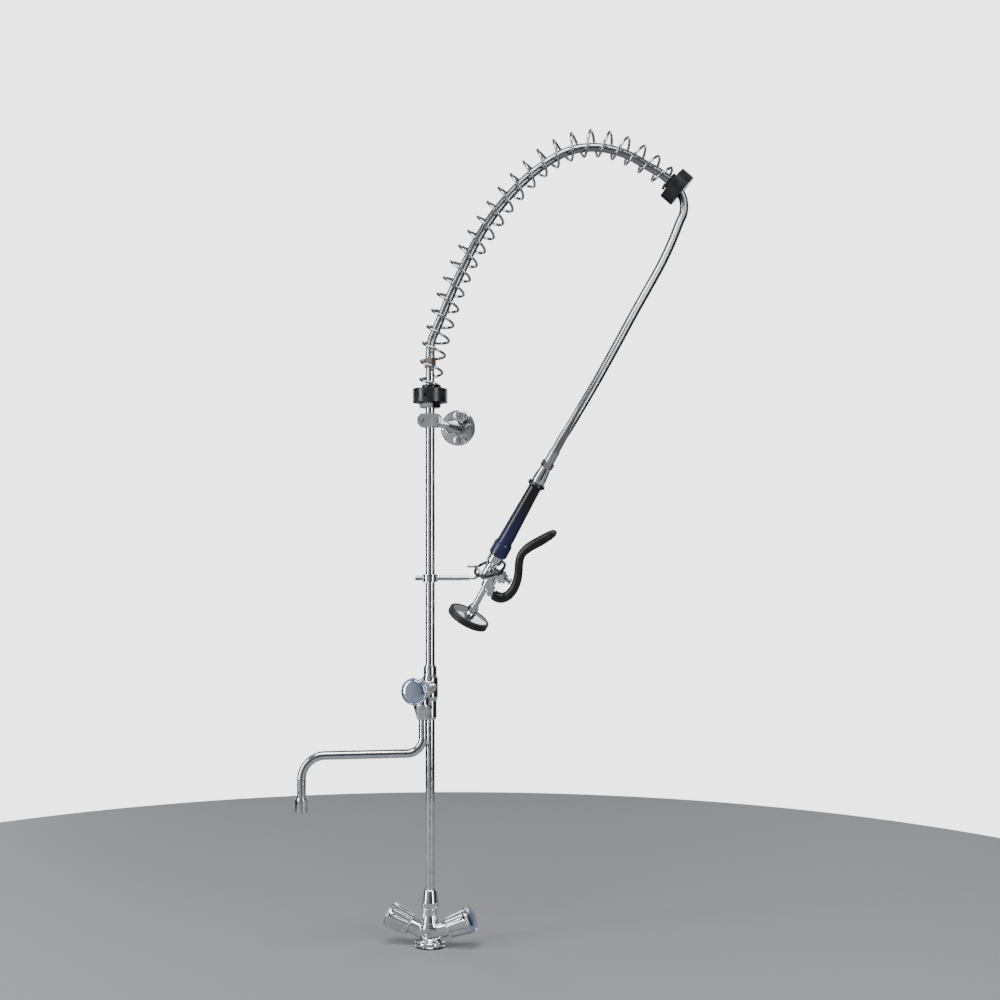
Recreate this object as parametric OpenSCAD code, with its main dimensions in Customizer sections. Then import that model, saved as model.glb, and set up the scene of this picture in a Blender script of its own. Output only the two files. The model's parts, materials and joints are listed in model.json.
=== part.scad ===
// Deck-mounted pre-rinse tap for a commercial kitchen.
// A two-handled mixer stands on the sink deck and carries a tall riser pipe. Half way up,
// a tap feeds a swinging spout. The riser is braced to the wall, and at its top a braided
// hose leaves inside a long arched spring, drops to a trigger spray gun, and the gun hangs
// by its ring on a hook clamped to the riser.
// Millimetres. +Z is up, X runs along the wall, -Y is the user's side and +Y is the wall.
// The origin is on the riser's axis, on the deck.

/* [Riser] */
// Outside diameter of the riser pipe
pipe_d = 15; // [14:0.5:16]
// Height of the intermediate tap's handle axis above the deck
tap_z = 415; // [380:5:450]
// Height of the hook arm above the deck
hook_z = 589; // [589:0.5:590]
// Height of the wall bracket above the deck
bracket_z = 841; // [800:1:845]
// Distance from the riser's axis to the wall
wall_y = 157; // [140:1:200]

/* [Mixer] */
// Diameter of the mixer's base
base_d = 50; // [46:1:54]
// Tilt of the two handle arms above level
arm_tilt = 22; // [15:1:30]
// Thickness of deck that the backnut is shown clamping
deck_t = 20; // [5:1:28]

/* [Handles] */
// Diameter of a handle at its cap
handle_d = 43; // [38:1:46]
// Number of grooves round a handle
grooves = 6; // [4:1:8]

/* [Spout] */
// Outside diameter of the spout pipe
spout_d = 14; // [13:0.5:14]
// Reach of the spout from its swivel to its nozzle
spout_reach = 190; // [150:5:260]
// How far the spout is turned from the wall's line towards the user
spout_turn = 25; // [0:1:80]

/* [Arch and gun] */
// Angle of the hose arch and hook from the wall's line, towards the wall
swing = 15; // [0:1:15]
// Diameter of the hose
hose_d = 14.4; // [13:0.2:14.4]
// Spring wire diameter
wire_d = 4; // [3:0.5:4]
// Outside diameter of the spring
spring_d = 44; // [43:1:46]
// Diameter of the spring's two black collars
collar_d = 56; // [50:1:60]
// Diameter of the spray head over its rubber rim
head_d = 70; // [66:1:76]

/* [Hidden] */
chrome = [0.78, 0.80, 0.83];
steel = [0.62, 0.64, 0.66];
brass = [0.66, 0.52, 0.38];
black = [0.09, 0.09, 0.10];
navy = [0.10, 0.11, 0.26];
cool = [0.70, 0.78, 0.88];
white = [0.85, 0.86, 0.87];
$fn = 48;

pipe_r = pipe_d / 2;
arm_z = 20;           // where the two arm axes meet the riser axis
neck_top = 61.6;
tap_from = tap_z - 52; // lower end of the tap's barrel
tap_to = tap_z + 35;   // upper end of the tap's barrel
riser_top = 867;
collar_z = 869;        // underside of the lower collar
collar_h = 23;
spindle_r = 4;
run_fit = 0.05;        // radial clearance of everything that turns or slides
spout_y = 37;          // swivel axis in front of the riser
spout_z = 314;         // height of the spout's level run
bend_in = 25;          // bend radius under the swivel
bend_out = 36;         // bend radius above the nozzle

// The gun's own frame: origin at its valve, +Z up the grip, +X towards the trigger.
gun_pos = [97, 0, 607];
gun_tilt = 29;
gun_lean = 15;
neck_x = 8;            // the neck is set over towards the trigger
pivot = [18.8, 0, -38]; // trigger pin
bonnet_z = -6;
ring_z = -3;           // hanging ring's pins
ring_turn = 23;
ring_tip = 43;
ring_r = 24.5;

// Upper collar, in the arch's plane
top_collar = [395, 0, 1215];
top_collar_tilt = 130.5; // its axis from straight up, over to the right and down

// Middle line of the spring, one point for every two turns, in the arch's plane
spring_line = [
    [0, 0, 896.5], [5, 0, 948], [18, 0, 999], [35, 0, 1050], [57, 0, 1099], [85, 0, 1145],
    [116, 0, 1190], [153, 0, 1231], [195, 0, 1265], [245, 0, 1284], [298, 0, 1279],
    [345, 0, 1255], [383, 0, 1225.5]
];
turns_per_span = 2;

// Middle line of the hose, in the arch's plane with -Y towards the user
hose_line = [
    [0, 0, 954.5], [1, 0, 963], [4, 0, 974], [11, 0, 990], [21, 0, 1014], [35, 0, 1047],
    [53, 0, 1086], [77, 0, 1133], [105, 0, 1175], [140, 0, 1215], [180, 0, 1249],
    [222, 0, 1272], [266, 0, 1278], [311, 0, 1268], [352, 0, 1246], [368, 0, 1237],
    [383, 0, 1225], [394.5, 0, 1214], [402.5, 0, 1202], [406, -1, 1187], [404.5, -3, 1171],
    [398, -7, 1156], [385, -15, 1124], [369, -24, 1090], [351, -32, 1057], [321, -45, 1004],
    [291, -56, 949], [262, -65, 897], [236, -69, 853], [220, -67, 826],
    [209.5, -62, 810], [198, -56, 789]
];

// ---------- helpers ----------

// Points of an arc in a profile, about (x, y)
function arc(x, y, r, from, to, n = 6) =
    [for (i = [0:n]) let (a = from + (to - from) * i / n) [x + r * cos(a), y + r * sin(a)]];

function unit(v) = v / norm(v);

// A smooth curve through every point of p, with n steps between neighbours
function curve(p, n) = [
    for (i = [0:len(p) - 2], k = [0:n - 1])
        let (t = k / n, a = p[max(i - 1, 0)], b = p[i], c = p[i + 1],
             d = p[min(i + 2, len(p) - 1)])
        0.5 * (2 * b + (c - a) * t + (2 * a - 5 * b + 4 * c - d) * t * t
               + (3 * b - a - 3 * c + d) * t * t * t),
    p[len(p) - 1]
];

function heading(p, i) = unit(p[min(i + 1, len(p) - 1)] - p[max(i - 1, 0)]);

function square_to(v, t) = unit(v - (v * t) * t);

// One sideways direction per point, carried along the line without twisting
function sides(p) = [
    for (i = 0, s = square_to([0, 1, 0], heading(p, 0)); i < len(p);
         i = i + 1, s = square_to(s, heading(p, min(i, len(p) - 1))))
        s
];

// A round rod of n sides along the points p, with one radius per point
module rod(p, radii, n = 10) {
    side = sides(p);
    points = [
        for (i = [0:len(p) - 1])
            let (t = heading(p, i), u = side[i], v = cross(t, u))
            for (k = [0:n - 1])
                p[i] + radii[i] * (cos(360 * k / n) * u + sin(360 * k / n) * v)
    ];
    faces = concat(
        [[for (k = [0:n - 1]) k]],
        [for (i = [0:len(p) - 2], k = [0:n - 1], half = [0, 1])
            let (a = i * n + k, b = i * n + (k + 1) % n)
            half == 0 ? [a, a + n, b + n] : [a, b + n, b]],
        [[for (k = [n - 1:-1:0]) (len(p) - 1) * n + k]]
    );
    polyhedron(points, faces);
}

module pipe(r, bore, from, to) {
    difference() {
        translate([0, 0, from]) cylinder(r = r, h = to - from);
        translate([0, 0, from - 1]) cylinder(r = bore, h = to - from + 2);
    }
}

module hex(across, from, to) {
    translate([0, 0, from]) cylinder(d = across / cos(30), h = to - from, $fn = 6);
}

// A hexagon whose corners are turned off at both faces, as on a nut
module nut_hex(across, from, to) {
    flat = across / 2;
    corner = flat / cos(30);
    drop = (corner - flat) * 0.7;
    intersection() {
        hex(across, from, to);
        rotate_extrude() polygon([
            [0, from], [flat - 0.2, from], [corner, from + drop], [corner, to - drop],
            [flat - 0.2, to], [0, to]
        ]);
    }
}

module drill(r, from, to) {
    translate([0, 0, from]) cylinder(r = r, h = to - from);
}

// The frames that the sub-parts are drawn in
module in_arch() { rotate([0, 0, swing]) children(); }
module on_arm(side) {
    translate([0, 0, arm_z]) rotate([0, side * (90 - arm_tilt), 0]) children();
}
module on_tap() { translate([0, 0, tap_z]) rotate([90, 0, 0]) translate([0, 0, 10]) children(); }
module at_spout() {
    translate([0, -spout_y, 0]) rotate([0, 0, 180 + spout_turn]) children();
}
module at_top_collar() {
    in_arch() translate(top_collar) rotate([0, top_collar_tilt, 0]) children();
}
module at_gun() {
    in_arch() translate(gun_pos) rotate([gun_lean, gun_tilt, 0]) children();
}
module on_bonnet() { at_gun() translate([0, 0, bonnet_z]) rotate([0, 90, 0]) children(); }

// ---------- deck fixing and mixer ----------

module base_gasket() {
    color(black) pipe(base_d / 2 - 1.5, 14, 0, 2);
}

module threaded_shank() {
    color(brass) difference() {
        drill(14, -50, 2);
        for (side = [-1, 1]) translate([7 * side, 0, 0]) drill(4.5, -51, 3);
    }
}

module clamp_washer() {
    color(steel) pipe(22, 14, -deck_t - 3, -deck_t);
}

module shank_nut() {
    color(brass) difference() {
        nut_hex(38, -deck_t - 12, -deck_t - 3);
        drill(14, -deck_t - 13, -deck_t - 2);
    }
}

// Base rosette, waist and neck, turned about the riser's axis
mixer_profile = concat(
    [[0, 2], [base_d / 2 - 2, 2]],
    arc(base_d / 2 - 4.5, 6.5, 4.5, -60, 80),
    arc(base_d / 2 - 3, 19, 8.5, 250, 195),
    [[15.5, 22], [16.5, 30], [16.5, 38]],
    arc(23.3, 52, 12, 235, 180),
    [[11.3, neck_top], [0, neck_top]]
);

// One arm, flaring into the body at its root
arm_profile = concat([[0, 4], [14, 4], [13.6, 12]], arc(19.6, 28, 10.1, 235, 180), [[9.5, 34], [0, 34]]);

module mixer_body() {
    color(chrome) difference() {
        union() {
            rotate_extrude() polygon(mixer_profile);
            translate([0, 0, 29]) sphere(r = 17);
            for (side = [-1, 1]) on_arm(side) rotate_extrude() polygon(arm_profile);
        }
        for (side = [-1, 1]) {
            translate([7 * side, 0, 0]) drill(4, 1, 23);
            on_arm(side) drill(6.2, 8, 35);
        }
        drill(6.5, 24, 51);
        drill(pipe_r, 50, neck_top + 1);
    }
}

// A ceramic-disc headwork: its body screws into a seat that ends at 34
module headwork(body_r) {
    difference() {
        union() {
            drill(body_r, 14, 34);
            nut_hex(19, 34, 40);
            drill(6.5, 40, 46);
        }
        drill(spindle_r + run_fit, 26, 47);
        drill(2.5, 13, 27);
    }
}

module spindle() { drill(spindle_r, 26.3, 66); }

// A handle's skirt starts just above the arm's end and its cap closes it to 77
cap_r = handle_d / 2;
arm_skirt = 34.6;
tap_skirt = 37;        // clear of the spout's boss

module handle(skirt) {
    taper = atan((cap_r - 0.8 - 17) / (68.8 - skirt));
    difference() {
        rotate_extrude() polygon(concat(
            [[13, skirt], [16, skirt], [17, skirt + 1.2], [cap_r - 0.8, 70]],
            arc(cap_r - 1.8, 71.2, 1.8, -10, 70, 4),
            [[cap_r - 1.5, 73], [spindle_r, 73], [spindle_r, 51], [13, 51]]
        ));
        for (i = [0:grooves - 1]) rotate([0, 0, 360 * (i + 0.5) / grooves])
            translate([18.2, 0, skirt]) rotate([0, taper, 0]) drill(3, -6, 33);
    }
}

// A low dome with a spigot that plugs the handle over its spindle
module cap() {
    rotate_extrude() polygon(concat(
        [[0, 66], [spindle_r, 66], [spindle_r, 73], [cap_r - 1.5, 73], [cap_r - 1.5, 74]],
        [for (i = [0:8]) let (a = i * 11.25) [(cap_r - 2) * cos(a), 74.2 + 3.2 * sin(a)]],
        [[0, 77.4]]
    ));
}

module hot_headwork() { color(brass) on_arm(-1) headwork(6.2); }
module hot_spindle() { color(steel) on_arm(-1) spindle(); }
module hot_handle() { color(chrome) on_arm(-1) handle(arm_skirt); }
module hot_cap() { color(chrome) on_arm(-1) cap(); }
module cold_headwork() { color(brass) on_arm(1) headwork(6.2); }
module cold_spindle() { color(steel) on_arm(1) spindle(); }
module cold_handle() { color(chrome) on_arm(1) handle(arm_skirt); }
module cold_cap() { color(cool) on_arm(1) cap(); }

// ---------- riser and intermediate tap ----------

module column_nut() {
    color(chrome) rotate_extrude() polygon([
        [pipe_r, neck_top], [12.5, neck_top], [13.8, 63.5], [14, 66], [14, 71],
        [11.2, 91], [10.6, 91.7], [pipe_r, 91.7]
    ]);
}

module column_lower() { color(chrome) pipe(pipe_r, pipe_r - 1, 51, tap_z - 25); }

module column_upper() { color(chrome) pipe(pipe_r, pipe_r - 1, tap_z + 12, riser_top); }

// Barrel on the riser, valve chamber to the front, spout boss below the chamber
module tap_body() {
    color(chrome) difference() {
        union() {
            rotate_extrude() polygon([
                [0, tap_from], [9.2, tap_from], [10.4, tap_from + 4], [10.4, tap_z - 22],
                [12.5, tap_z - 15], [12.5, tap_z + 15], [10.4, tap_z + 20],
                [10.4, tap_to - 3], [9.2, tap_to], [0, tap_to]
            ]);
            on_tap() rotate_extrude() polygon([[0, -10], [12, -10], [12, 33], [11, 34], [0, 34]]);
            translate([0, -spout_y, 0]) drill(9.5, tap_z - 24, tap_z);
        }
        drill(pipe_r, tap_from - 1, tap_z - 25);
        drill(6, tap_z - 26, tap_z + 13);
        drill(pipe_r, tap_z + 12, tap_to + 1);
        on_tap() drill(8, 6, 35);
        on_tap() drill(13, 34, 50);
        on_tap() drill(5, -10, 7);
        translate([0, -spout_y, 0]) drill(spout_d / 2 + run_fit, tap_z - 25, tap_z);
    }
}

module tap_headwork() { color(brass) on_tap() headwork(8); }
module tap_spindle() { color(steel) on_tap() spindle(); }
module tap_handle() { color(chrome) on_tap() handle(tap_skirt); }
module tap_cap() { color(cool) on_tap() cap(); }

// ---------- spout ----------

spout_nut_top = tap_z - 24;

module spout_nut() {
    color(chrome) translate([0, -spout_y, spout_nut_top]) rotate_extrude() polygon([
        [9, 0], [14.5, 0], [15, -1.5], [14.4, -7], [10, -21], [9, -24],
        [spout_d / 2 + 0.4, -24], [spout_d / 2 + 0.4, -6], [9, -6]
    ]);
}

// The spout's pipe, drawn once for its outside and once for its bore
module spout_run(r) {
    level = spout_reach - bend_out;
    drill(r, spout_z + bend_in, tap_z - 12);
    translate([bend_in, 0, spout_z + bend_in]) rotate([90, 0, 0]) rotate([0, 0, 180])
        rotate_extrude(angle = 90) translate([bend_in, 0]) circle(r = r);
    translate([bend_in, 0, spout_z]) rotate([0, 90, 0]) cylinder(r = r, h = level - bend_in);
    translate([level, 0, spout_z - bend_out]) rotate([90, 0, 0])
        rotate_extrude(angle = 90) translate([bend_out, 0]) circle(r = r);
    translate([spout_reach, 0, 0]) drill(r, 240, spout_z - bend_out);
}

module spout_tube() {
    color(chrome) at_spout() difference() {
        union() {
            spout_run(spout_d / 2);
            drill(8.6, spout_nut_top - 5.5, spout_nut_top - 2.5);
        }
        spout_run(spout_d / 2 - 1);
        drill(spout_d / 2 - 1, tap_z - 14, tap_z - 11);
        translate([spout_reach, 0, 0]) drill(spout_d / 2 - 1, 239, 242);
    }
}

module aerator() {
    color(chrome) at_spout() translate([spout_reach, 0, 0]) rotate_extrude() polygon([
        [8.6, 226.5], [10, 226.5], [10.5, 227.5], [10.5, 246], [9.5, 248.5], [9, 249.5],
        [spout_d / 2, 249.5], [spout_d / 2, 238.5], [8.6, 238.5]
    ]);
}

module aerator_insert() {
    color(white) at_spout() translate([spout_reach, 0, 0]) difference() {
        drill(8.6, 228, 238.5);
        drill(6, 230, 239);
        for (i = [0:7]) rotate([0, 0, 45 * i]) translate([4, 0, 0]) drill(0.9, 227, 231);
    }
}

// ---------- hook and wall bracket ----------

module hook_clamp() {
    color(chrome) in_arch() translate([0, 0, hook_z]) difference() {
        pipe(12, pipe_r, -6, 6);
        rotate([0, 90, 0]) drill(4, 9, 14);
        rotate([0, -90, 0]) drill(2.5, 6, 14);
    }
}

module hook_screw() {
    color(steel) in_arch() translate([0, 0, hook_z]) rotate([0, -90, 0]) union() {
        drill(2.5, 7.5, 13);
        drill(4, 13, 24);
    }
}

module hook_arm() {
    color(chrome) in_arch() translate([0, 0, hook_z]) rotate([0, 90, 0]) difference() {
        drill(4, 9, 63);
        drill(2.5, 55, 64);
    }
}

hook_bend = 9.5;
hook_x = 69;           // where the finger starts to turn back

module hook_finger() {
    color(chrome) in_arch() translate([0, 0, hook_z]) union() {
        rotate([0, 90, 0]) drill(2.5, 55, hook_x);
        translate([hook_x, 0, hook_bend]) rotate([90, 0, 0]) rotate([0, 0, -90])
            rotate_extrude(angle = 180) translate([hook_bend, 0]) circle(r = 2.5);
        translate([0, 0, 2 * hook_bend]) {
            rotate([0, 90, 0]) drill(2.5, 61, hook_x);
            translate([61, 0, 0]) sphere(r = 2.5);
        }
    }
}

// An eight-sided clamp plate, lying across the riser
module clamp_plate(from, to) {
    rotate([90, 0, 0]) translate([0, 0, -to]) linear_extrude(to - from) polygon([
        [-18, -5], [-12, -11], [12, -11], [18, -5], [18, 5], [12, 11], [-12, 11], [-18, 5]
    ]);
}

module clamp_holes() {
    for (side = [-1, 1]) translate([12.5 * side, 0, 0]) rotate([90, 0, 0])
        translate([0, 0, -20]) cylinder(r = 2.5, h = 40);
}

module bracket_front() {
    color(steel) translate([0, 0, bracket_z]) difference() {
        clamp_plate(-12, -1);
        drill(pipe_r, -12, 12);
        clamp_holes();
    }
}

module bracket_screws() {
    color(chrome) translate([0, 0, bracket_z]) for (side = [-1, 1])
        translate([12.5 * side, 0, 0]) rotate([90, 0, 0]) difference() {
            union() {
                drill(2.5, -12, 12);
                drill(4.3, 12, 15);
            }
            hex(4, 13, 16);
        }
}

// Back plate, arm and the cone that meets the wall flange, in one casting
module bracket_arm() {
    color(chrome) translate([0, 0, bracket_z]) difference() {
        union() {
            clamp_plate(1, 12);
            rotate([-90, 0, 0]) rotate_extrude() polygon([
                [0, 11], [8.5, 11], [6.5, 16], [6.5, 88], [7.5, 92], [12.5, wall_y - 40],
                [12.5, wall_y - 9], [11.5, wall_y - 7], [0, wall_y - 7]
            ]);
        }
        drill(pipe_r, -12, 12);
        clamp_holes();
    }
}

flange_pcd = 42;

module bracket_flange() {
    color(chrome) translate([0, wall_y, bracket_z]) rotate([90, 0, 0]) difference() {
        rotate_extrude() polygon(concat(
            [[0, 0], [30.5, 0], [30.5, 1.5]], arc(27, 1.5, 3.5, 0, 70, 4), [[15, 7], [0, 7]]
        ));
        for (i = [0:3]) rotate([0, 0, 90 * i]) translate([flange_pcd / 2, 0, 0]) {
            drill(2.75, -1, 8);
            translate([0, 0, 3.5]) cylinder(r1 = 2.75, r2 = 6.5, h = 3.75);
        }
    }
}

// ---------- top of the riser, spring and hose ----------

module riser_adaptor() {
    color(chrome) difference() {
        union() {
            nut_hex(31, 861, collar_z);
            drill(9.5, collar_z, 893);
            drill(7, 893, 932);
        }
        drill(pipe_r, 860, riser_top);
        drill(5, 866, 933);
    }
}

// A black ring that the spring's end turn is pushed over, drawn from its outer face,
// where its bore opens out so that the hose can bend as it leaves
module spring_collar() {
    difference() {
        rotate_extrude() polygon(concat(
            [[13, 0], [collar_d / 2 - 1, 0], [collar_d / 2, 1], [collar_d / 2, collar_h - 1],
             [collar_d / 2 - 1, collar_h]],
            [[13.4, collar_h], [13.4, collar_h + 5], [12.8, collar_h + 6], [9.5, collar_h + 6],
             [9.5, 12], [10.4, 5]]
        ));
        translate([0, 0, 11]) rotate([90, 0, 0]) drill(2, 8, collar_d);
    }
}

module lower_collar() {
    color(black) translate([0, 0, collar_z]) spring_collar();
}

module upper_collar() {
    color(black) at_top_collar() rotate([180, 0, 0]) translate([0, 0, -collar_h / 2])
        spring_collar();
}

module hose_nut() {
    color(brass) difference() {
        nut_hex(17, 925, 941);
        drill(7, 924, 932);
        drill(4.5, 931, 942);
    }
}

module hose_ferrule() { color(steel) drill(hose_d / 2 + 0.6, 941, 954); }

spring_steps = 24; // steps between two points of the spring's line
spring_r = (spring_d - wire_d) / 2;

module spring() {
    mid = curve(spring_line, spring_steps);
    last = len(mid) - 1;
    coil = [
        for (i = [0:last])
            let (t = heading(mid, i), u = [t[2], 0, -t[0]], a = 360 * turns_per_span * i / spring_steps,
                 near = min(i, last - i), r = 16.2 + (spring_r - 16.2) * min(1, near / 30))
            mid[i] + r * (cos(a) * u - [0, sin(a), 0])
    ];
    color(steel) in_arch() rod(coil, [for (p = coil) wire_d / 2], 6);
}

module hose() {
    path = curve(hose_line, 2);
    color(steel) in_arch() rod(path, [for (p = path) hose_d / 2], 10);
}

// ---------- spray gun ----------

module gun_ferrule() { color(steel) at_gun() drill(hose_d / 2 + 1, 196, 215.5); }

module gun_nut() {
    color(chrome) at_gun() difference() {
        union() {
            rotate_extrude() polygon([
                [0, 158], [10.8, 158], [11.2, 160], [11, 165], [8.6, 186], [0, 186]
            ]);
            nut_hex(18, 185, 196);
        }
        drill(7, 157, 170);
        drill(4.5, 169, 197);
    }
}

module gun_tube() { color(steel) at_gun() pipe(7, 5, 12, 170); }

module grip() {
    color(black) at_gun() rotate_extrude() polygon(concat(
        [[7, 46], [12.6, 46], [12.4, 60], [10.3, 140], [10.4, 149.5]],
        arc(10.5, 154, 4, -75, 90, 8),
        [[7, 158]]
    ));
}

module grip_sleeve() {
    color(navy) at_gun() rotate_extrude() polygon([
        [7, 23], [14, 23], [15, 24.5], [15, 43.5], [13.8, 46], [7, 46]
    ]);
}

// Collar under the grip, barrel, boss for the bonnet, socket for the neck and trigger ears
module valve_body() {
    color(chrome) at_gun() difference() {
        union() {
            rotate_extrude() polygon([
                [0, -24], [6, -24], [9, -18], [9, 6], [12.6, 10], [12.6, 22], [12, 23], [0, 23]
            ]);
            translate([neck_x, 0, 0]) rotate_extrude() polygon([
                [0, -34], [7.5, -34], [8.5, -32], [8.5, -8], [0, -2]
            ]);
            translate([0, 0, bonnet_z]) rotate([0, 90, 0]) drill(8.6, 0, 20);
            translate([0, 0, ring_z]) rotate([0, 0, ring_turn]) rotate([90, 0, 0]) drill(4.2, -12, 12);
            translate([8, -7.6, -34]) cube([12, 15.2, 16]);
            for (side = [-1, 1]) translate([0, side * 5.95 - 1.65, 0]) {
                translate([15, 0, -38]) cube([8, 3.3, 10]);
                translate(pivot) rotate([-90, 0, 0]) cylinder(r = 5, h = 3.3);
            }
        }
        drill(7, 12, 24);
        drill(5, -12, 13);
        translate([neck_x, 0, 0]) { drill(5.5, -35, -26); drill(2.8, -27, -7); }
        translate([0, 0, bonnet_z]) rotate([0, 90, 0]) { drill(5.4, 0, 12.2); drill(7, 12, 21); }
        for (side = [-1, 1]) translate([0, 0, ring_z]) rotate([0, 0, ring_turn])
            rotate([90 * side, 0, 0]) drill(2 + run_fit, 7, 13);
        translate([14.2, -4.3, -45]) cube([12, 8.6, 15]);
        translate(pivot) rotate([90, 0, 0]) translate([0, 0, -10]) cylinder(r = 2, h = 20);
    }
}

module valve_bonnet() {
    color(chrome) on_bonnet() difference() {
        union() {
            drill(7, 12.4, 20);
            nut_hex(19, 20, 27);
            drill(8, 27, 32);
        }
        drill(3.5 + run_fit, 12, 33);
    }
}

module valve_plunger() {
    color(steel) on_bonnet() union() {
        drill(4.9, 9, 12);
        drill(3.5, 12, 38);
        drill(5.5, 37, 39.2);
        translate([0, 0, 39.2]) cylinder(r1 = 5.5, r2 = 3, h = 1);
    }
}

module trigger_pin() {
    color(steel) at_gun() translate(pivot) rotate([90, 0, 0]) translate([0, 0, -8.8])
        cylinder(r = 2, h = 17.6);
}

// The lever's eye, which turns on the pin and runs a little way into the lever
module trigger_tongue() {
    color(black) at_gun() difference() {
        union() {
            translate(pivot) rotate([90, 0, 0]) translate([0, 0, -4]) cylinder(r = 4.6, h = 8);
            translate([pivot[0], -4, pivot[2] - 4.6]) cube([7.2, 8, 9.2]);
        }
        translate(pivot) rotate([90, 0, 0]) translate([0, 0, -9]) cylinder(r = 2 + run_fit, h = 18);
    }
}

lever_line = [
    [24.6, 0, -38.3], [33, 0, -38.4], [40.5, 0, -35.5], [46.5, 0, -27], [49, 0, -14],
    [47.5, 0, 0.5], [42.6, 0, 15], [36, 0, 29.5], [33.4, 0, 43], [37.6, 0, 58],
    [48, 0, 76], [55, 0, 88], [60.5, 0, 98], [62.5, 0, 101.5], [63.6, 0, 103.4]
];
lever_radii = [8.5, 8.8, 8.5, 8, 7.6, 7.2, 7, 7, 7, 7.8, 8.2, 7.6, 6.2, 4.2, 1.6];

module trigger_lever() {
    path = curve(lever_line, 2);
    last = len(lever_radii) - 1;
    radii = [for (i = [0:2 * last]) (lever_radii[floor(i / 2)] + lever_radii[ceil(i / 2)]) / 2];
    color(black) at_gun() rod(path, radii, 14);
}

module hanging_ring() {
    color(black) at_gun() translate([0, 0, ring_z]) rotate([0, 0, ring_turn]) union() {
        rotate([0, -ring_tip, 0]) rotate_extrude() translate([ring_r, 0]) circle(r = 2.4);
        for (side = [-1, 1]) rotate([90 * side, 0, 0]) drill(2, 7.3, ring_r);
    }
}

module neck_tube() {
    color(chrome) at_gun() translate([neck_x, 0, 0]) pipe(5.5, 4, -76, -26);
}

module head_union() {
    color(chrome) at_gun() translate([neck_x, 0, 0]) difference() {
        union() {
            nut_hex(16, -80, -72);
            drill(7.6, -82, -80);
            drill(7.4, -72, -69);
        }
        drill(5.5, -76, -68);
        drill(3.5, -83, -75);
    }
}

head_r = head_d / 2;

module spray_dish() {
    color(chrome) at_gun() translate([neck_x, 0, 0]) rotate_extrude() polygon([
        [3.5, -82], [8.2, -82], [9.5, -83.6], [20, -85.5], [head_r - 2, -87.5],
        [head_r - 2, -89.5], [head_r - 5, -89.5], [head_r - 5, -88.4], [19, -86.8],
        [8.5, -85], [3.5, -84.4]
    ]);
}

module spray_face() {
    color(white) at_gun() translate([neck_x, 0, 0]) difference() {
        drill(head_r - 5, -95, -92.5);
        for (ring = [1:3], i = [0:6 * ring - 1]) rotate([0, 0, 60 * i / ring])
            translate([8 * ring, 0, 0]) drill(0.9, -96, -92);
        drill(0.9, -96, -92);
    }
}

// Rubber bumper, a deep band round the dish's edge and the face below it
module spray_rim() {
    color(black) at_gun() translate([neck_x, 0, 0]) difference() {
        rotate_extrude() polygon([
            [head_r - 7, -97.2], [head_r - 5, -98.2], [head_r - 2.2, -98.4], [head_r - 0.6, -97.4],
            [head_r, -95.6], [head_r - 0.5, -93.2], [head_r - 0.5, -92.4], [head_r, -90],
            [head_r - 0.4, -87.8], [head_r - 1.6, -86.7], [head_r - 4.2, -86.3], [head_r - 5, -86.5]
        ]);
        rotate_extrude() polygon([
            [20, -95], [head_r - 5, -95], [head_r - 5, -89.5], [head_r - 2, -89.5],
            [head_r - 2, -87.5], [20, -85.5]
        ]);
    }
}

base_gasket();
mixer_body();
threaded_shank();
clamp_washer();
shank_nut();
hot_headwork();
cold_headwork();
column_nut();
column_lower();
tap_body();
tap_headwork();
spout_nut();
column_upper();
hook_clamp();
hook_screw();
hook_arm();
hook_finger();
bracket_front();
bracket_arm();
bracket_screws();
bracket_flange();
riser_adaptor();
lower_collar();
hose_nut();
hose_ferrule();
spring();
upper_collar();
hose();
gun_ferrule();
gun_nut();
gun_tube();
grip();
grip_sleeve();
valve_body();
valve_bonnet();
trigger_pin();
neck_tube();
head_union();
spray_dish();
spray_face();
spray_rim();
hot_handle();
hot_cap();
hot_spindle();
cold_handle();
cold_cap();
cold_spindle();
tap_handle();
tap_cap();
tap_spindle();
spout_tube();
aerator();
aerator_insert();
trigger_lever();
trigger_tongue();
valve_plunger();
hanging_ring();
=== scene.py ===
# %% [markdown]
# # A pre-rinse tap for a commercial kitchen
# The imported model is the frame: every pipe, nut and joint is already where it belongs. These cells
# give it its looks. Pieces whose shape the frame only blocks in, such as the cast mixer, the fluted
# handles, the coil spring and the braided hose, are modelled again in Blender around the frame, and
# every other piece keeps its shape and gets a real finish.

# %% The frame
import json
import math

import bpy
from mathutils import Matrix, Vector


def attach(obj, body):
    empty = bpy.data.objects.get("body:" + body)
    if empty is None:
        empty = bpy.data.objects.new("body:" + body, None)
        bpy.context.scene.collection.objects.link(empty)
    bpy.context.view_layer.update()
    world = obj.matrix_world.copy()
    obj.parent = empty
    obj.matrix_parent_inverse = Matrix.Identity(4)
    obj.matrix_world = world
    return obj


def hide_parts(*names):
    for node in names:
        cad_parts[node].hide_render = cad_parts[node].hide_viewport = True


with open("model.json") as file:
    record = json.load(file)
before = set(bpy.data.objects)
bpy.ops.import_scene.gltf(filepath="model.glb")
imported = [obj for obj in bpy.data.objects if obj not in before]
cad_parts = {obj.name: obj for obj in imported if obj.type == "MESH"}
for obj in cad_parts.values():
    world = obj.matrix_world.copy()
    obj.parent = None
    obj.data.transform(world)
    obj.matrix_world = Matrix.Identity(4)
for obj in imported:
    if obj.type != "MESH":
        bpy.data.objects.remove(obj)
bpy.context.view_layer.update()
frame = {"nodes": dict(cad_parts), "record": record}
MM = 0.001

# %% [markdown]
# ## The camera
# The tap is seen from the room, a little to the right of straight ahead, at the height of its middle.
# A level camera keeps the riser upright, and a small vertical shift frames the whole height without
# tilting it.

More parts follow.
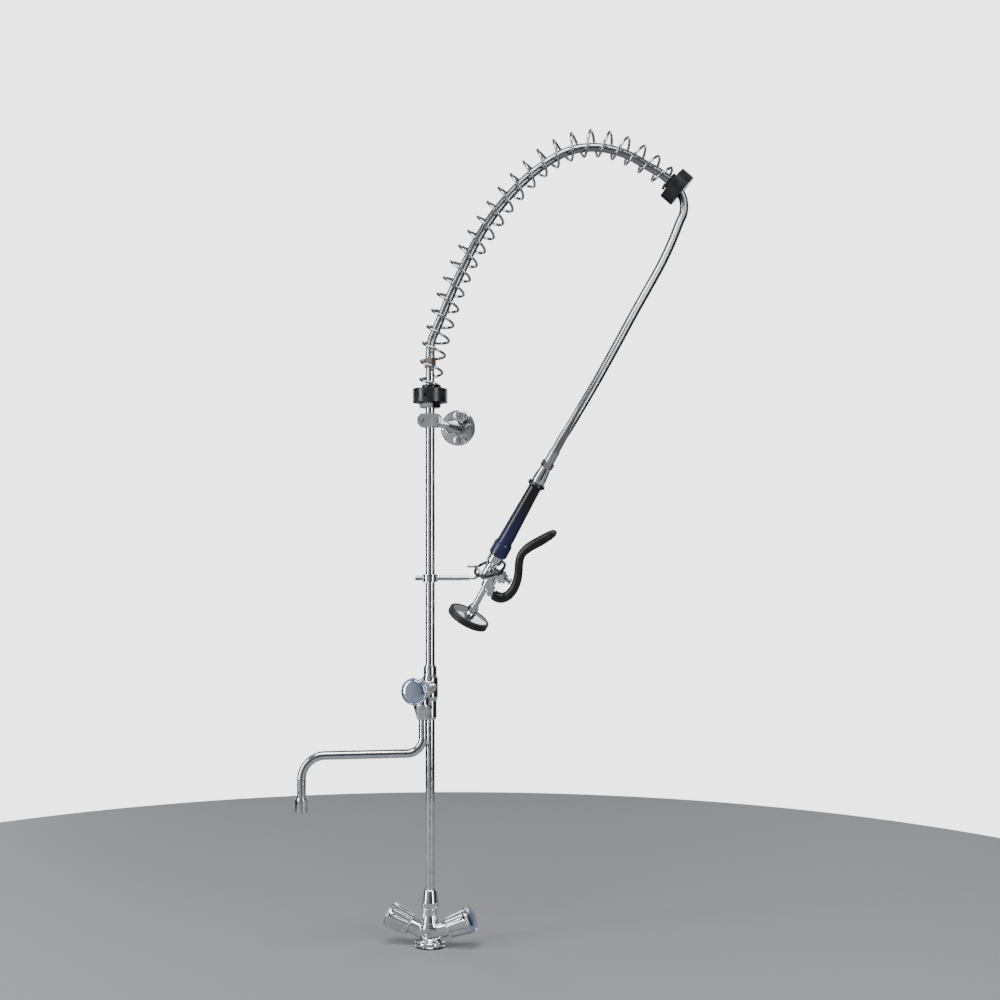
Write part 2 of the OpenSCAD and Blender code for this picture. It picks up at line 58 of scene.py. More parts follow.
# %% The camera
bpy.ops.object.select_all(action="DESELECT")
bpy.ops.object.camera_add(location=(0.729, -2.289, 0.642), rotation=(math.radians(90), 0, math.radians(15)))
camera = bpy.context.object
camera.data.sensor_width = 36
camera.data.lens = 54
camera.data.shift_y = 0.045
bpy.context.scene.camera = camera

# %% [markdown]
# ## Places on the tap
# The arch of the hose stands at a slant to the wall, the gun leans on its hook, and each handle has
# its own spindle line. A matrix for each lets a piece be modelled upright at the origin and then be
# set in place once, which is how a part is turned on a lathe before it is fitted.

# %% Places on the tap
ARCH_TURN, ARM_TILT = 15, 22
GUN_SPOT, GUN_TILT, GUN_LEAN = (0.097, 0, 0.607), 29, 15
ARM_HEIGHT = 0.020
TAP_SPOT = (0, -0.010, 0.415)


def turned_by(degrees, axis):
    return Matrix.Rotation(math.radians(degrees), 4, axis)


arch_place = turned_by(ARCH_TURN, "Z")
gun_place = arch_place @ Matrix.Translation(GUN_SPOT) @ turned_by(GUN_TILT, "Y") @ turned_by(GUN_LEAN, "X")
tap_place = Matrix.Translation(TAP_SPOT) @ turned_by(90, "X")


def arm_place(side):
    """The spindle line of the hot (-1) or cold (1) arm, with its own Z running outwards."""
    return Matrix.Translation((0, 0, ARM_HEIGHT)) @ turned_by(side * (90 - ARM_TILT), "Y")


# %% [markdown]
# ## Modelling helpers
# Most of a tap is turned on a lathe, and the rest is bent from rod, wire and tube. So two helpers
# make nearly everything. One draws half an outline as a chain of extruded vertices and spins it round
# an axis. The other rolls a flat grid up along a curved line, which leaves a clean UV map with U
# along the line and V round it: a woven pattern can then follow every bend.

# %% A clean start for each piece
def start_piece(name, add, **settings):
    """Adds a primitive with nothing else selected, and leaves it in edit mode with all selected."""
    bpy.ops.object.select_all(action="DESELECT")
    add(**settings)
    piece = bpy.context.object
    piece.name = name
    piece.data.name = name
    bpy.ops.object.mode_set(mode="EDIT")
    bpy.ops.mesh.select_all(action="SELECT")
    return piece


def close_up(piece, smooth_angle=35):
    """Merges doubles, turns faces outwards, leaves edit mode and sets the shading."""
    bpy.ops.mesh.select_all(action="SELECT")
    bpy.ops.mesh.remove_doubles(threshold=2e-6)
    bpy.ops.mesh.normals_make_consistent(inside=False)
    bpy.ops.object.mode_set(mode="OBJECT")
    bpy.ops.object.shade_smooth_by_angle(angle=math.radians(smooth_angle))
    return piece


# %% Turned pieces
def turned(name, outline, steps=64, smooth_angle=35):
    """Spins an outline of (radius, height) points in mm round Z."""
    piece = start_piece(name, bpy.ops.mesh.primitive_plane_add, size=0.001)
    bpy.ops.mesh.merge(type="CENTER")
    points = [Vector((r * MM, 0, z * MM)) for r, z in outline]
    bpy.ops.transform.translate(value=points[0])
    for a, b in zip(points, points[1:]):
        bpy.ops.mesh.extrude_region_move(TRANSFORM_OT_translate={"value": b - a})
    bpy.ops.mesh.select_all(action="SELECT")
    bpy.ops.mesh.spin(steps=steps, angle=2 * math.pi, center=(0, 0, 0), axis=(0, 0, 1))
    return close_up(piece, smooth_angle)


def arc(x, y, radius, start, end, steps=6):
    """Points of an arc about (x, y), from one angle to another in degrees."""
    turns = [math.radians(start + (end - start) * i / steps) for i in range(steps + 1)]
    return [(x + radius * math.cos(a), y + radius * math.sin(a)) for a in turns]


# %% Bent pieces
def smooth_line(points, steps):
    """A smooth curve through every point, with a number of steps between neighbours."""
    points = [Vector(p) for p in points]
    line = []
    for i in range(len(points) - 1):
        a, b = points[max(i - 1, 0)], points[i]
        c, d = points[i + 1], points[min(i + 2, len(points) - 1)]
        for k in range(steps):
            t = k / steps
            line.append(0.5 * (2 * b + (c - a) * t + (2 * a - 5 * b + 4 * c - d) * t * t
                               + (3 * b - a - 3 * c + d) * t ** 3))
    return line + [points[-1]]


def headings(line):
    """The direction of travel at every point of a line."""
    last = len(line) - 1
    return [(line[min(i + 1, last)] - line[max(i - 1, 0)]).normalized() for i in range(last + 1)]


def rolled(name, line, radii, sides, smooth_angle=60):
    """Rolls a grid up along a line into a closed rod, with its UV map in place."""
    piece = start_piece(name, bpy.ops.mesh.primitive_grid_add, x_subdivisions=len(line) - 1,
                        y_subdivisions=sides, size=1)
    bpy.ops.object.mode_set(mode="OBJECT")
    travel = headings(line)
    side = Vector((0, 1, 0)).cross(travel[0]).normalized()
    frames = []
    for t in travel:
        side = (side - side.dot(t) * t).normalized()
        frames.append((side, t.cross(side)))
    for vertex in piece.data.vertices:
        i = round((vertex.co.x + 0.5) * (len(line) - 1))
        turn = (vertex.co.y + 0.5) * 2 * math.pi
        across, up = frames[i]
        vertex.co = line[i] + radii[i] * (math.cos(turn) * across + math.sin(turn) * up)
    bpy.ops.object.mode_set(mode="EDIT")
    bpy.ops.mesh.select_all(action="SELECT")
    bpy.ops.mesh.remove_doubles(threshold=2e-6)
    bpy.ops.mesh.select_all(action="DESELECT")
    bpy.ops.mesh.select_non_manifold(extend=False)
    bpy.ops.mesh.fill_holes(sides=0)
    return close_up(piece, smooth_angle)


# %% Finishing a piece
def set_in_place(piece, place):
    """Moves the mesh itself, so that the object stays at the origin."""
    piece.data.transform(place)
    piece.data.update()
    return piece


def apply_modifier(piece, kind, **settings):
    """Adds a modifier and applies it."""
    bpy.ops.object.select_all(action="DESELECT")
    bpy.context.view_layer.objects.active = piece
    piece.select_set(True)
    modifier = piece.modifiers.new(kind.title(), kind)
    for key, value in settings.items():
        setattr(modifier, key, value)
    bpy.ops.object.modifier_apply(modifier=modifier.name)


def soften(piece, width_mm, segments=2, angle=30):
    """Breaks the sharp edges of a machined or moulded piece."""
    apply_modifier(piece, "BEVEL", width=width_mm * MM, segments=segments, limit_method="ANGLE",
                   angle_limit=math.radians(angle), harden_normals=False)
    bpy.ops.object.shade_smooth_by_angle(angle=math.radians(50))


def fit(piece, body, slot, material, *nodes):
    """Gives a finished piece its body and material, and hides the frame nodes that it stands for. The slot is
    not used.
    """
    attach(piece, body)
    if nodes:
        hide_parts(*nodes)
    piece.data.materials.clear()
    piece.data.materials.append(material)
    return piece


# %% [markdown]
# ## Finishes
# Each finish is a small network. Colours are written as sRGB hex, the way a colour card gives them,
# and turned to linear light once. Patterns are sized in millimetres of the real object: one helper
# turns a spacing into the number of repeats per metre.

# %% Node helpers
def hex_colour(code):
    """An sRGB hex colour as linear RGBA."""
    parts = [int(code[i:i + 2], 16) / 255 for i in (1, 3, 5)]
    return [p / 12.92 if p <= 0.04045 else ((p + 0.055) / 1.055) ** 2.4 for p in parts] + [1]


def node(tree, kind, settings=None, **links):
    """Adds one node, sets its properties or inputs, and links other nodes' outputs to it."""
    made = tree.nodes.new(kind)
    for key, value in (settings or {}).items():
        if key in made.inputs:
            made.inputs[key].default_value = value
        else:
            setattr(made, key, value)
    for key, source in links.items():
        target = made.inputs[int(key[3:])] if key.startswith("in_") else made.inputs[key]
        tree.links.new(source, target)
    return made


def new_finish(name, colour, metallic, roughness, **sockets):
    """A material with one shader, its fixed values set on the shader's own sockets."""
    material = bpy.data.materials.new(name)
    material.use_nodes = True
    shader = material.node_tree.nodes["Principled BSDF"]
    shader.inputs["Base Color"].default_value = hex_colour(colour)
    shader.inputs["Metallic"].default_value = metallic
    shader.inputs["Roughness"].default_value = roughness
    for key, value in sockets.items():
        shader.inputs[key.replace("_", " ")].default_value = value
    return material, material.node_tree, shader


def per_metre(spacing_mm):
    """How many repeats of a pattern fit in a metre."""
    return 1 / (spacing_mm * MM)


def grain(tree, spacing_mm, detail=2.0, stretch=(1, 1, 1)):
    """Noise with features of one size, in the object's own coordinates."""
    place = node(tree, "ShaderNodeTexCoord").outputs["Object"]
    mapping = node(tree, "ShaderNodeMapping", {"Scale": stretch}, Vector=place)
    return node(tree, "ShaderNodeTexNoise", {"Scale": per_metre(spacing_mm), "Detail": detail},
                Vector=mapping.outputs["Vector"]).outputs["Fac"]


def spread(tree, value, low, high):
    """Stretches the middle of a noise over a range."""
    return node(tree, "ShaderNodeMapRange", {"From Min": 0.3, "From Max": 0.7, "To Min": low, "To Max": high},
                Value=value).outputs["Result"]


def two_tone(tree, value, first, second, low=0.35, high=0.65):
    """Blends two colours by a value."""
    ramp = node(tree, "ShaderNodeValToRGB", None, Fac=value)
    ends = ramp.color_ramp.elements
    ends[0].position, ends[0].color = low, hex_colour(first)
    ends[1].position, ends[1].color = high, hex_colour(second)
    return ramp.outputs["Color"]


def raise_surface(tree, shader, height, depth_mm):
    """Bumps the surface by a height pattern, to a real depth."""
    bump = node(tree, "ShaderNodeBump", {"Distance": depth_mm * MM, "Strength": 1.0}, Height=height)
    tree.links.new(bump.outputs["Normal"], shader.inputs["Normal"])


# %% [markdown]
# ## Chromium plate
# Most of the tap is cast or drawn brass, polished and plated with bright chromium. The plate is a
# near mirror with a faint blue cast. What makes it look used and not like glass is a very slight
# waviness left by polishing by hand, and thin dried water marks that dull it in patches.

# %% Chromium plate
def chromium_plate(name, colour, dull_colour, gloss=0.05):
    material, tree, shader = new_finish(name, colour, 1.0, gloss)
    marks = grain(tree, 9, detail=6)
    tree.links.new(two_tone(tree, marks, dull_colour, colour, 0.3, 0.6), shader.inputs["Base Color"])
    tree.links.new(spread(tree, marks, gloss + 0.13, gloss), shader.inputs["Roughness"])
    raise_surface(tree, shader, grain(tree, 22), 0.012)
    return material


chromium = chromium_plate("polished_chromium_plate", "#DDE0E3", "#C4C7C9")
blue_chromium = chromium_plate("blued_chromium_plate", "#C3D2EA", "#A9B8D2", gloss=0.09)

# %% [markdown]
# ## Stainless steel and brass
# The clamp's front plate, the ferrules and the screws in the wall are drawn stainless steel, softer
# and greyer than the plate, and the spring is brighter wire. The hidden brass is unplated and has
# dulled to brown in patches, and the hose nut's thin nickel has worn nearly through to it.

# %% Stainless steel and brass
def stainless_steel(name, colour, gloss):
    material, tree, shader = new_finish(name, colour, 1.0, gloss)
    scratches = grain(tree, 1.6, detail=3, stretch=(1, 1, 0.08))
    tree.links.new(spread(tree, scratches, gloss - 0.07, gloss + 0.12), shader.inputs["Roughness"])
    raise_surface(tree, shader, scratches, 0.006)
    return material


steel = stainless_steel("drawn_stainless_steel", "#B9BBBD", 0.26)
spring_steel = stainless_steel("bright_spring_steel", "#B4B6B9", 0.15)


def dulled_brass(name, colour, dull_colour):
    material, tree, shader = new_finish(name, colour, 1.0, 0.32)
    patches = grain(tree, 6, detail=5)
    tree.links.new(two_tone(tree, patches, dull_colour, colour), shader.inputs["Base Color"])
    tree.links.new(spread(tree, patches, 0.45, 0.25), shader.inputs["Roughness"])
    raise_surface(tree, shader, patches, 0.05)
    return material


brass = dulled_brass("dulled_brass", "#B4966A", "#7B5F43")
worn_nickel_brass = dulled_brass("worn_nickelled_brass", "#B3A79E", "#8C7B70")

# %% [markdown]
# ## Moulded plastics and rubber
# The collars, grip and trigger are acetal and nylon mouldings: glossy, with a fine spark-eroded
# texture from the mould and light scuffs. The bumper and gasket are rubber, which is rougher and
# slightly grey where it is handled.

# %% Moulded plastics and rubber
def moulded(name, colour, worn_colour, gloss, texture_mm=0.9, depth_mm=0.04):
    material, tree, shader = new_finish(name, colour, 0.0, gloss, IOR=1.49)
    scuffs = grain(tree, 11, detail=7)
    tree.links.new(two_tone(tree, scuffs, colour, worn_colour, 0.45, 0.75), shader.inputs["Base Color"])
    tree.links.new(spread(tree, scuffs, gloss - 0.06, gloss + 0.12), shader.inputs["Roughness"])
    raise_surface(tree, shader, grain(tree, texture_mm, detail=3), depth_mm)
    return material


black_acetal = moulded("black_acetal", "#191A1C", "#222326", 0.27, depth_mm=0.008)
black_nylon = moulded("black_nylon", "#0D0D0F", "#1A1A1C", 0.33)
white_acetal = moulded("white_acetal", "#D9DBDC", "#C6C8C8", 0.35)
navy_polypropylene = moulded("navy_polypropylene", "#161A40", "#232850", 0.26)
black_rubber = moulded("black_nitrile_rubber", "#0E0E0F", "#1D1D1D", 0.5, texture_mm=1.4, depth_mm=0.06)

# %% [markdown]
# ## The dipped grip
# The grip is a vinyl sleeve that shades from black at the hose end to dark blue at the valve end.
# The shading follows the grip's own axis, so the pattern is turned to line up with it.

# %% The dipped grip
def dipped_vinyl():
    material, tree, shader = new_finish("dipped_vinyl", "#101018", 0.0, 0.27, IOR=1.5)
    place = node(tree, "ShaderNodeTexCoord").outputs["Object"]
    turn = gun_place.inverted()
    along = node(tree, "ShaderNodeVectorMath", {"operation": "DOT_PRODUCT"}, Vector=place)
    along.inputs[1].default_value = turn.to_3x3()[2]
    height = node(tree, "ShaderNodeMath", {"operation": "ADD"}, Value=along.outputs["Value"])
    height.inputs[1].default_value = turn.translation[2]
    share = node(tree, "ShaderNodeMapRange", {"From Min": 0.050, "From Max": 0.130}, Value=height.outputs[0])
    tree.links.new(two_tone(tree, share.outputs["Result"], "#1A1C44", "#0E0E12", 0.1, 0.9),
                   shader.inputs["Base Color"])
    raise_surface(tree, shader, grain(tree, 1.2, detail=3), 0.05)
    return material


vinyl = dipped_vinyl()

# %% [markdown]
# ## Woven wire braid
# The hose is rubber inside a braid of fine stainless wire. Flat bundles of wire run both ways round
# it and pass over and under each other, which the eye reads as a fine diamond weave. The pattern uses
# the hose's own UV map: U runs along it and V round it. Twelve bundles go round the hose each way,
# nearly 4 mm apart, a little wider than life so that the weave still shows from across a room.

# %% Woven wire braid
HOSE_DIAMETER = 0.0144
hose_points = [
    (0, 0, 0.9545), (0.001, 0, 0.963), (0.004, 0, 0.974), (0.011, 0, 0.990), (0.021, 0, 1.014),
    (0.035, 0, 1.047), (0.053, 0, 1.086), (0.077, 0, 1.133), (0.105, 0, 1.175), (0.140, 0, 1.215),
    (0.180, 0, 1.249), (0.222, 0, 1.272), (0.266, 0, 1.278), (0.311, 0, 1.268), (0.352, 0, 1.246),
    (0.368, 0, 1.237), (0.383, 0, 1.225), (0.3945, 0, 1.214), (0.4025, 0, 1.202),
    (0.406, -0.001, 1.187), (0.4045, -0.003, 1.171), (0.398, -0.007, 1.156), (0.385, -0.015, 1.124),
    (0.369, -0.024, 1.090), (0.351, -0.032, 1.057), (0.321, -0.045, 1.004), (0.291, -0.056, 0.949),
    (0.262, -0.065, 0.897), (0.236, -0.069, 0.853), (0.220, -0.067, 0.826), (0.2095, -0.062, 0.810),
    (0.198, -0.056, 0.789),
]
hose_line = [arch_place @ p for p in smooth_line(hose_points, 12)]
hose_length = sum((b - a).length for a, b in zip(hose_line, hose_line[1:]))
print("hose length:", round(hose_length, 4), "m")


def wire_braid():
    material, tree, shader = new_finish("woven_stainless_braid", "#A2A4A6", 1.0, 0.24)
    uv = node(tree, "ShaderNodeSeparateXYZ", None, Vector=node(tree, "ShaderNodeTexCoord").outputs["UV"])
    bundles = 12
    around = hose_length / (math.pi * HOSE_DIAMETER)
    waves = []
    for way in (-1, 1):
        lengthwise = node(tree, "ShaderNodeMath", {"operation": "MULTIPLY"}, in_0=uv.outputs["X"])
        lengthwise.inputs[1].default_value = way * round(around * bundles)
        slant = node(tree, "ShaderNodeMath", {"operation": "MULTIPLY_ADD"}, in_0=uv.outputs["Y"],
                     in_2=lengthwise.outputs[0])
        slant.inputs[1].default_value = bundles
        turn = node(tree, "ShaderNodeMath", {"operation": "MULTIPLY"}, in_0=slant.outputs[0])
        turn.inputs[1].default_value = 2 * math.pi
        waves.append(node(tree, "ShaderNodeMath", {"operation": "SINE"}, in_0=turn.outputs[0]).outputs[0])
    over = node(tree, "ShaderNodeMath", {"operation": "MULTIPLY"}, in_0=waves[0], in_1=waves[1])
    height = node(tree, "ShaderNodeMapRange", {"From Min": -1.0, "From Max": 1.0}, Value=over.outputs[0])
    # Painted shade: the weave's low parts between crossing bundles are painted darker. The diamond weave
    # itself is the braid's real pattern.
    tree.links.new(two_tone(tree, height.outputs["Result"], "#77797B", "#B6B8BA", 0.2, 0.7),
                   shader.inputs["Base Color"])
    raise_surface(tree, shader, height.outputs["Result"], 0.09)
    return material


braid = wire_braid()

# %% [markdown]
# ## The hose
# It leaves the hose tail on top of the riser, climbs inside the spring, turns over in the upper
# collar and hangs free down to the gun. Its route is a short list of points, rolled into a tube of
# its real diameter.

# %% The hose
hose = rolled("braided_hose", hose_line, [HOSE_DIAMETER / 2] * len(hose_line), 20)
fit(hose, "fixed_body", "hose_braid", braid, "hose")

# %% [markdown]
# ## The spring
# A coil spring is one wire wound round a bent middle line. The helix is worked out from the turn
# count, and its end turns draw in to sit on the collars, as a real spring is pushed over its seat.

# %% The spring
WIRE, TURNS_PER_SPAN, SPRING_STEPS = 0.0046, 2, 48
SPRING_RADIUS, END_RADIUS = 0.020, 0.0162
spring_points = [
    (0, 0, 0.8965), (0.005, 0, 0.948), (0.018, 0, 0.999), (0.035, 0, 1.050), (0.057, 0, 1.099),
    (0.085, 0, 1.145), (0.116, 0, 1.190), (0.153, 0, 1.231), (0.195, 0, 1.265), (0.245, 0, 1.284),
    (0.298, 0, 1.279), (0.345, 0, 1.255), (0.383, 0, 1.2255),
]
middle = smooth_line(spring_points, SPRING_STEPS)
helix = []
for i, (p, t) in enumerate(zip(middle, headings(middle))):
    angle = 2 * math.pi * TURNS_PER_SPAN * i / SPRING_STEPS
    seated = min(1, min(i, len(middle) - 1 - i) / (1.25 * SPRING_STEPS))
    radius = END_RADIUS + (SPRING_RADIUS - END_RADIUS) * seated
    across = Vector((t.z, 0, -t.x))
    helix.append(arch_place @ (p + radius * (math.cos(angle) * across - Vector((0, math.sin(angle), 0)))))
spring = rolled("coil_spring", helix, [WIRE / 2] * len(helix), 12)
fit(spring, "fixed_body", "steel", spring_steel, "spring")
print("spring:", len(spring.data.polygons), "faces")

# %% [markdown]
# ## The trigger
# The lever is a bar dipped in thick black plastic, so it has no edges at all. It is rolled along the
# same S line as the frame's, with the swelling at the thumb end, and bevelled for a soft skin.

# %% The trigger
lever_points = [
    (24.6, 0, -38.3), (33, 0, -38.4), (40.5, 0, -35.5), (46.5, 0, -27), (49, 0, -14), (47.5, 0, 0.5),
    (42.6, 0, 15), (36, 0, 29.5), (33.4, 0, 43), (37.6, 0, 58), (48, 0, 76), (55, 0, 88), (60.5, 0, 98),
    (62.5, 0, 101.5), (63.6, 0, 103.4),
]
lever_radii = [8.5, 8.8, 8.5, 8, 7.6, 7.2, 7, 7, 7, 7.8, 8.2, 7.6, 6.2, 4.2, 1.6]
LEVER_STEPS = 5
lever_line = [p * MM for p in smooth_line(lever_points, LEVER_STEPS)]
radii = [r.x * MM for r in smooth_line([(r, 0, 0) for r in lever_radii], LEVER_STEPS)]
lever = rolled("trigger_lever_dipped", lever_line, radii, 20)
soften(lever, 2.2, segments=4, angle=50)
set_in_place(lever, gun_place)
fit(lever, "trigger", "black_plastic", black_nylon, "trigger_lever")

# %% [markdown]
# ## The mixer casting
# The hub, neck and two arms of a mixer are one sand casting, ground and polished until every joint
# between them is a wide soft fillet. So the plain shapes are joined, turned into one even skin with a
# voxel remesh, and smoothed. The round base under it stays crisp, because it is turned on a lathe.

# %% The mixer casting
def ellipsoid(name, radii_mm, height_mm):
    ball = start_piece(name, bpy.ops.mesh.primitive_uv_sphere_add, segments=48, ring_count=32, radius=1)
    bpy.ops.transform.resize(value=[r * MM for r in radii_mm])
    bpy.ops.transform.translate(value=(0, 0, height_mm * MM))
    return close_up(ball)


def join(pieces):
    bpy.ops.object.select_all(action="DESELECT")
    for piece in pieces:
        piece.select_set(True)
    bpy.context.view_layer.objects.active = pieces[0]
    bpy.ops.object.join()
    return pieces[0]


shapes = [ellipsoid("mixer_casting", (18.5, 16.5, 15.5), 29)]
shapes.append(turned("neck", [(0, 24), (15, 30), (14.5, 40), (12.4, 50), (12, 56), (12, 62.4), (0, 62.4)]))
for side in (-1, 1):
    arm = turned("arm", [(0, 2), (14, 4), (13.4, 16), (12.9, 26), (12.9, 35.2), (0, 35.2)])
    shapes.append(set_in_place(arm, arm_place(side)))
casting = join(shapes)
apply_modifier(casting, "REMESH", mode="VOXEL", voxel_size=0.7 * MM, use_smooth_shade=True)
apply_modifier(casting, "SMOOTH", factor=0.5, iterations=26)
bpy.ops.object.shade_smooth()
fit(casting, "fixed_body", "chrome_plate", chromium, "mixer_body")
print("mixer casting:", len(casting.data.polygons), "faces")

base = turned("mixer_base", [(0, 2.1), (23, 2.1), (24.6, 2.9)] + arc(20.6, 6.4, 4.4, -40, 80, 8)
              + arc(22, 19, 8.5, 250, 195, 8) + [(14, 23), (0, 24)], steps=96, smooth_angle=28)
fit(base, "fixed_body", "chrome_plate", chromium)

# %% [markdown]
# ## The fluted handles
# A handle is a tapered casting with six wide lobes and narrow flutes between them. It is turned as a
# plain tapered cup first. Then each vertex on its side is drawn in where a flute passes, and the
# flute fades out before the shoulder, as a ball-nosed cutter leaves it.

# %% The fluted handles
LOBES, FLUTE_DEPTH, FLUTE_HALF_WIDTH = 6, 2.6, 14
CAP_RADIUS = 21.5


def flute_depth(turn_deg, height):
    """How far a flute draws the surface in, in mm, at an angle and a height on the handle."""
    off = abs((turn_deg + 30) % (360 / LOBES) - 180 / LOBES)
    if off >= FLUTE_HALF_WIDTH:
        return 0
    fade = min(1, max(0, (69.5 - height) / 7))
    return FLUTE_DEPTH * math.cos(math.pi / 2 * off / FLUTE_HALF_WIDTH) ** 2 * math.sin(math.pi / 2 * fade)


def fluted_handle(name, skirt):
    """A tapered cup about Z, open at its skirt, with six flutes."""
    side = [(17 + (CAP_RADIUS - 0.8 - 17) * k / 14, skirt + 1.2 + (68.8 - skirt) * k / 14)
            for k in range(15)]
    shoulder = arc(CAP_RADIUS - 1.8, 71.2, 1.8, -10, 70, 4)[1:]
    outline = ([(4, 51), (13, 51), (13, skirt), (16, skirt), (16.6, skirt + 0.4)] + side + shoulder
               + [(CAP_RADIUS - 1.5, 73), (4, 73), (4, 51)])
    piece = turned(name, outline, steps=120)
    for vertex in piece.data.vertices:
        radius = math.hypot(vertex.co.x, vertex.co.y)
        if radius > 15.9 * MM and vertex.co.z < 70 * MM:
            turn = math.degrees(math.atan2(vertex.co.y, vertex.co.x))
            drawn_in = flute_depth(turn, vertex.co.z / MM) * MM
            vertex.co.xy *= (radius - drawn_in) / radius
    return piece


def domed_cap(name):
    """A low dome with a raised rim, plugged into the handle by its spigot."""
    rim = arc(CAP_RADIUS - 1.9, 73.9, 0.9, -60, 150, 6)
    dome = [((CAP_RADIUS - 3.4) * math.cos(a), 74 + 3.4 * math.sin(a))
            for a in (math.radians(6 * k) for k in range(16))]
    return turned(name, [(0, 66), (4, 66), (4, 73), (CAP_RADIUS - 2.2, 73)] + rim + dome[:-1] + [(0, 77.4)],
                  steps=96, smooth_angle=40)


for handle_name, place, body, skirt in (
    ("hot", arm_place(-1), "hot_tap_handle", 34.6),
    ("cold", arm_place(1), "cold_tap_handle", 34.6),
    ("tap", tap_place, "spout_tap_handle", 37),
):
    shell = set_in_place(fluted_handle(f"{handle_name}_fluted_handle", skirt), place)
    fit(shell, body, "chrome_plate", chromium, f"{handle_name}_handle")
    cap = set_in_place(domed_cap(f"{handle_name}_domed_cap"), place)
    fit(cap, body, "cap_chrome", blue_chromium, f"{handle_name}_cap")
    print(handle_name, "handle:", len(shell.data.polygons), "faces")

# %% [markdown]
# ## The wall screws
# Four countersunk screws fill the flange's holes, each with a cross recess. The flange keeps its open
# holes in the frame, because that is where a fitter would drive the screws.

# %% The wall screws
FLANGE = Vector((0, 0.157, 0.841))


def screw_head(name):
    """A countersunk head with a cross cut into it, drawn about Z with its top at 7 mm."""
    outline = [(0, 0.5), (2.6, 0.5), (2.6, 3.4), (6.1, 6.9), (5.9, 7.3), (4, 7.9), (0, 8.1)]
    head = turned(name, outline, steps=48)
    for turn in (0, 90):
        bpy.ops.object.select_all(action="DESELECT")
        bpy.ops.mesh.primitive_cube_add(size=1, location=(0, 0, 8.5 * MM),
                                        rotation=(0, 0, math.radians(turn + 20)))
        cutter = bpy.context.object
        cutter.scale = (5.4 * MM, 1.1 * MM, 3.4 * MM)
        apply_modifier(head, "BOOLEAN", object=cutter, operation="DIFFERENCE", solver="EXACT")
        bpy.data.objects.remove(cutter)
    bpy.ops.object.shade_smooth_by_angle(angle=math.radians(35))
    return head


for k in range(4):
    turn = math.radians(90 * k)
    head = screw_head(f"wall_screw_{k + 1}")
    place = Matrix.Translation(FLANGE) @ Matrix.Rotation(math.radians(90), 4, "X")
    set_in_place(head, place @ Matrix.Translation((0.021 * math.cos(turn), 0.021 * math.sin(turn), 0)))
    fit(head, "fixed_body", "steel", steel)

# %% [markdown]
# ## Finishes for the frame's own pieces
# Everything else has its true shape in the frame already. Each node gets the finish of its slot, and
# a few pieces have a finish of their own.

# %% Finishes for the frame's own pieces
by_slot = {
    "chrome_plate": chromium, "cap_chrome": blue_chromium, "steel": steel, "brass": brass,
    "hose_braid": braid, "black_plastic": black_acetal, "black_rubber": black_rubber,
    "navy_plastic": navy_polypropylene, "white_plastic": white_acetal,
}
special = {"grip": vinyl, "hanging_ring": black_nylon, "trigger_tongue": black_nylon,
           "hose_nut": worn_nickel_brass}
for part in frame["record"]["subparts"]:
    name = part["node"]
    cad_node = frame["nodes"][name]
    cad_node.data.materials.clear()
    cad_node.data.materials.append(special.get(name, by_slot[part["material_slot"]]))

# %% [markdown]
# ## The studio
# Polished metal shows only what is around it. A grey floor, two tall soft boxes at the front, one
# overhead and two weak ones behind give every pipe a bright stripe, a grey body and a dark edge,
# which is what tells the eye that it is chromium.

# %% The floor
bpy.ops.object.select_all(action="DESELECT")
bpy.ops.mesh.primitive_circle_add(vertices=128, radius=1.5, fill_type="NGON", location=(0, 0, 0))
floor = bpy.context.object
floor.name = "studio_floor"
floor.data.materials.append(new_finish("grey_studio_floor", "#8E9092", 0.0, 0.7)[0])


# %% The lights
def soft_box(name, place, width, height, power):
    """A rectangular white area light that faces the middle of the tap."""
    bpy.ops.object.select_all(action="DESELECT")
    bpy.ops.object.light_add(type="AREA", location=place)
    lamp = bpy.context.object
    lamp.name = name
    lamp.data.shape = "RECTANGLE"
    lamp.data.size, lamp.data.size_y = width, height
    lamp.data.energy = power
    lamp.rotation_euler = (LAMP_AIM - Vector(place)).to_track_quat("-Z", "Y").to_euler()


LAMP_AIM = Vector((0.1, 0, 0.65))
soft_box("key_left", (-1.9, -1.7, 1.2), 0.5, 2.6, 60)
soft_box("fill_right", (2.3, -1.5, 1.1), 0.5, 2.4, 40)
soft_box("front_top", (0.2, -1.2, 2.9), 1.6, 1.0, 60)
soft_box("back_rim", (0.9, 2.2, 1.6), 1.2, 1.8, 14)
soft_box("back_left", (-1.9, 1.5, 1.3), 0.6, 2.2, 12)

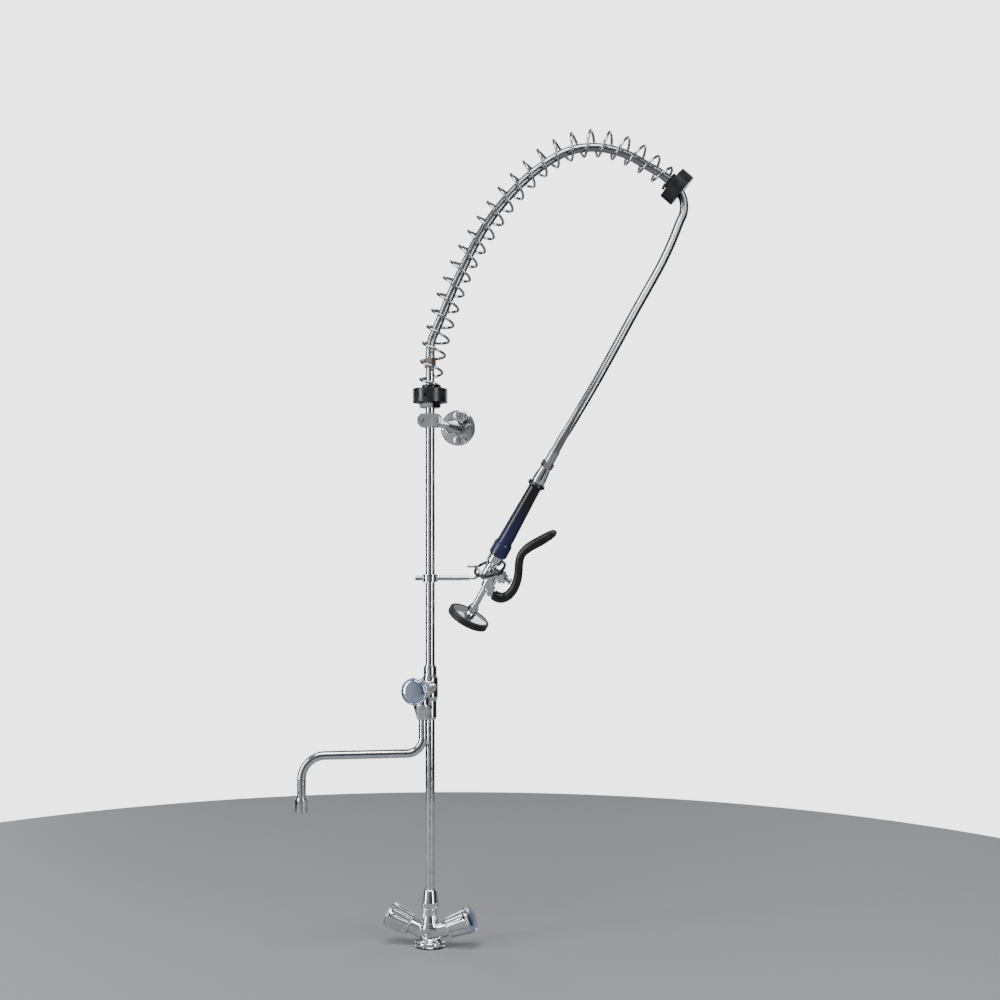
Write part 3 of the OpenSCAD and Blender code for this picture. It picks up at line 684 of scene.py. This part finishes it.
# %% [markdown]
# The walls beyond the lights are upright bands of dark and pale, which give a round pipe its dark
# edges and bright stripes, and the ceiling is pale. Where the camera sees the room directly it is
# plain white.

# %% The room
world = bpy.data.worlds.new("studio_room")
bpy.context.scene.world = world
world.use_nodes = True
room = world.node_tree
background = room.nodes["Background"]
view = node(room, "ShaderNodeTexCoord").outputs["Generated"]
direction = node(room, "ShaderNodeSeparateXYZ", None, Vector=view)
turn = node(room, "ShaderNodeMath", {"operation": "ARCTAN2"}, in_0=direction.outputs["Y"],
            in_1=direction.outputs["X"])
round_room = node(room, "ShaderNodeMapRange", {"From Min": -math.pi, "From Max": math.pi},
                  Value=turn.outputs[0])
walls = node(room, "ShaderNodeValToRGB", None, Fac=round_room.outputs["Result"])
tones = [(0.0, "#1E2022"), (0.10, "#4A4D50"), (0.17, "#F4F5F6"), (0.23, "#D5D7D9"), (0.30, "#6F7275"),
         (0.38, "#2B2D30"), (0.44, "#C8CACC"), (0.50, "#1D1F21"), (0.62, "#3A3C3F"), (0.74, "#E6E7E9"),
         (0.86, "#2A2C2F"), (1.0, "#1E2022")]
stops = walls.color_ramp.elements
stops[0].color, stops[-1].color = hex_colour(tones[0][1]), hex_colour(tones[-1][1])
for place, tone in tones[1:-1]:
    stops.new(place).color = hex_colour(tone)
height = node(room, "ShaderNodeMapRange", {"From Min": 0.15, "From Max": 0.75}, Value=direction.outputs["Z"])
above = node(room, "ShaderNodeMixRGB", {"Color2": hex_colour("#B9BBBD")}, Fac=height.outputs["Result"],
             Color1=walls.outputs["Color"])
room.links.new(above.outputs["Color"], background.inputs["Color"])
background.inputs["Strength"].default_value = 0.5
seen = node(room, "ShaderNodeBackground", {"Color": hex_colour("#F7F7F8"), "Strength": 3.6})
mix = node(room, "ShaderNodeMixShader", None, in_0=node(room, "ShaderNodeLightPath").outputs["Is Camera Ray"],
           in_1=background.outputs[0], in_2=seen.outputs[0])
room.links.new(mix.outputs[0], room.nodes["World Output"].inputs["Surface"])
